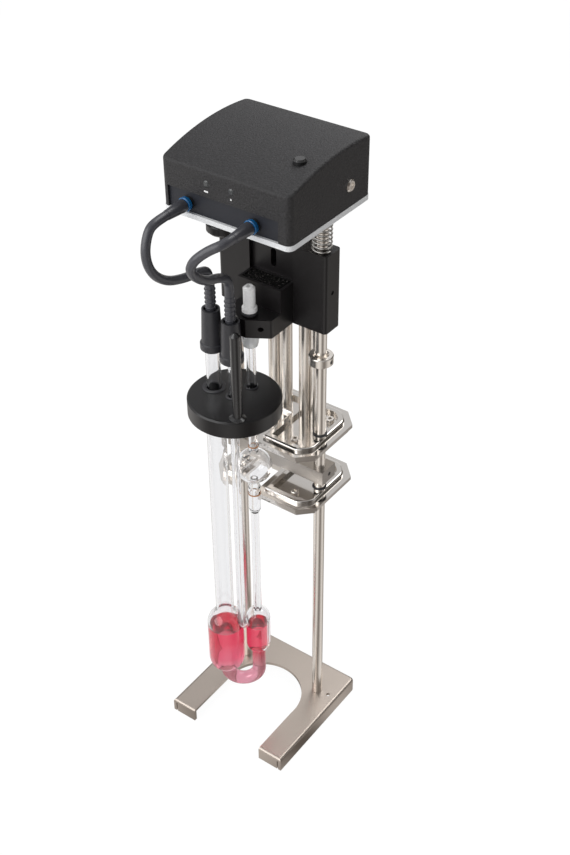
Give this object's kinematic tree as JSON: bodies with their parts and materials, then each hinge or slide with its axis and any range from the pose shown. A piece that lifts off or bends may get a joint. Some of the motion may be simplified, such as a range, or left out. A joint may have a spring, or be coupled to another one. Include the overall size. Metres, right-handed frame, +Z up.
{
  "type": "capillary viscometer",
  "caption": "Bench capillary viscometer: black pump head on steel posts, hanging glass tube with rose-red sample, steel light-barrier plates and a U-shaped steel foot.",
  "frame": {"origin": "on the table under the middle of the stand's bounding box, cords left out", "axes": "+Z up along the posts, -Y to the front of the foot and the hoses, +X to the right"},
  "size_m": [0.1058, 0.1337, 0.4846],
  "materials": {
    "brushed_steel": "brushed sheet, soft sheen",
    "polished_steel": "bright polished stainless",
    "white_paint": "smooth white coat",
    "black_grain": "fine moulded grain",
    "slate_paint": "matt slate blue",
    "black_plastic": "smooth black",
    "blue_plastic": "bright blue",
    "lamp_plastic": "pale translucent lens",
    "white_plastic": "white, softly glossy",
    "milky_plastic": "milky, half clear",
    "black_rubber": "dull black rubber",
    "black_foam": "open-cell foam",
    "screw_black": "blackened steel",
    "clear_glass": "clear blown glass",
    "red_liquid": "rose-red clear sample",
    "mark_orange": "fired-on orange ring",
    "aluminium": "plain machined",
    "brass": "plain turned",
    "board_green": "solder mask"
  },
  "bodies": {
    "stand": {"foot_plate": "brushed_steel", "left_post": "polished_steel", "right_post": "polished_steel", "post_fasteners": "polished_steel", "stop_collar_left": "polished_steel", "stop_collar_right": "polished_steel", "grub_screws": "screw_black", "upper_pod_tray": "polished_steel", "upper_pod_cover": "polished_steel", "lower_pod_tray": "polished_steel", "lower_pod_cover": "polished_steel", "pod_screws": "polished_steel", "post_rings": "black_rubber", "clamp_bar": "polished_steel", "sensor_tube_1": "polished_steel", "sensor_tube_2": "polished_steel", "sensor_tube_3": "polished_steel", "sensor_tube_4": "polished_steel", "holder_block": "black_plastic", "left_spring": "polished_steel", "right_spring": "polished_steel", "nose": "black_plastic", "foam_pad": "black_foam", "nose_screws": "screw_black", "capillary_glass": "clear_glass", "sample_liquid": "red_liquid", "timing_marks": "mark_orange", "holder_disc": "black_plastic", "disc_grommets": "black_rubber", "lift_rod": "black_plastic", "tube_plug": "white_plastic", "plug_seal": "black_rubber", "tube_cup": "milky_plastic", "tube_cap_left": "black_rubber", "hose_sleeve_left": "black_rubber", "tube_cap_right": "black_rubber", "hose_sleeve_right": "black_rubber", "hose_left": "black_rubber", "hose_right": "black_rubber"},
    "head": {"head_base_plate": "white_paint", "head_cover": "black_grain", "front_panel": "slate_paint", "indicator_marks": "white_paint", "hose_fittings": "black_plastic", "hose_boot_left": "black_rubber", "hose_boot_right": "black_rubber", "button_switch": "black_plastic", "lamp_lenses": "lamp_plastic", "cover_screws": "polished_steel", "cover_brackets": "aluminium", "base_inserts": "brass", "circuit_board": "board_green", "pressure_sensor": "black_plastic", "air_pump": "aluminium", "valve_block": "aluminium"},
    "clamp_knob": {"clamp_knob": "black_plastic"},
    "top_button": {"top_button": "black_plastic"},
    "collet_left": {"release_collet_left": "blue_plastic"},
    "collet_right": {"release_collet_right": "blue_plastic"}
  },
  "joints": [
    {"name": "head_float", "type": "slide", "parent": "stand", "child": "head", "axis": [0, 0, 1], "range_m": [-0.01, 0], "stiffness_N_per_m": 2000, "springref_m": 0.008, "deforming": ["left_spring", "right_spring", "hose_left", "hose_right"]},
    {"name": "top_button_press", "type": "slide", "parent": "head", "child": "top_button", "axis": [0, 0, 1], "range_m": [-0.0015, 0], "stiffness_N_per_m": 400, "springref_m": 0.002},
    {"name": "collet_left_press", "type": "slide", "parent": "head", "child": "collet_left", "axis": [0, 1, 0], "range_m": [0, 0.0008], "stiffness_N_per_m": 300, "springref_m": -0.001},
    {"name": "collet_right_press", "type": "slide", "parent": "head", "child": "collet_right", "axis": [0, 1, 0], "range_m": [0, 0.0008], "stiffness_N_per_m": 300, "springref_m": -0.001},
    {"name": "clamp_knob_turn", "type": "hinge", "parent": "head", "child": "clamp_knob", "pos_m": [-0.01, -0.0225, 0.436], "axis": [0, 0, 1], "continuous": true}
  ]
}
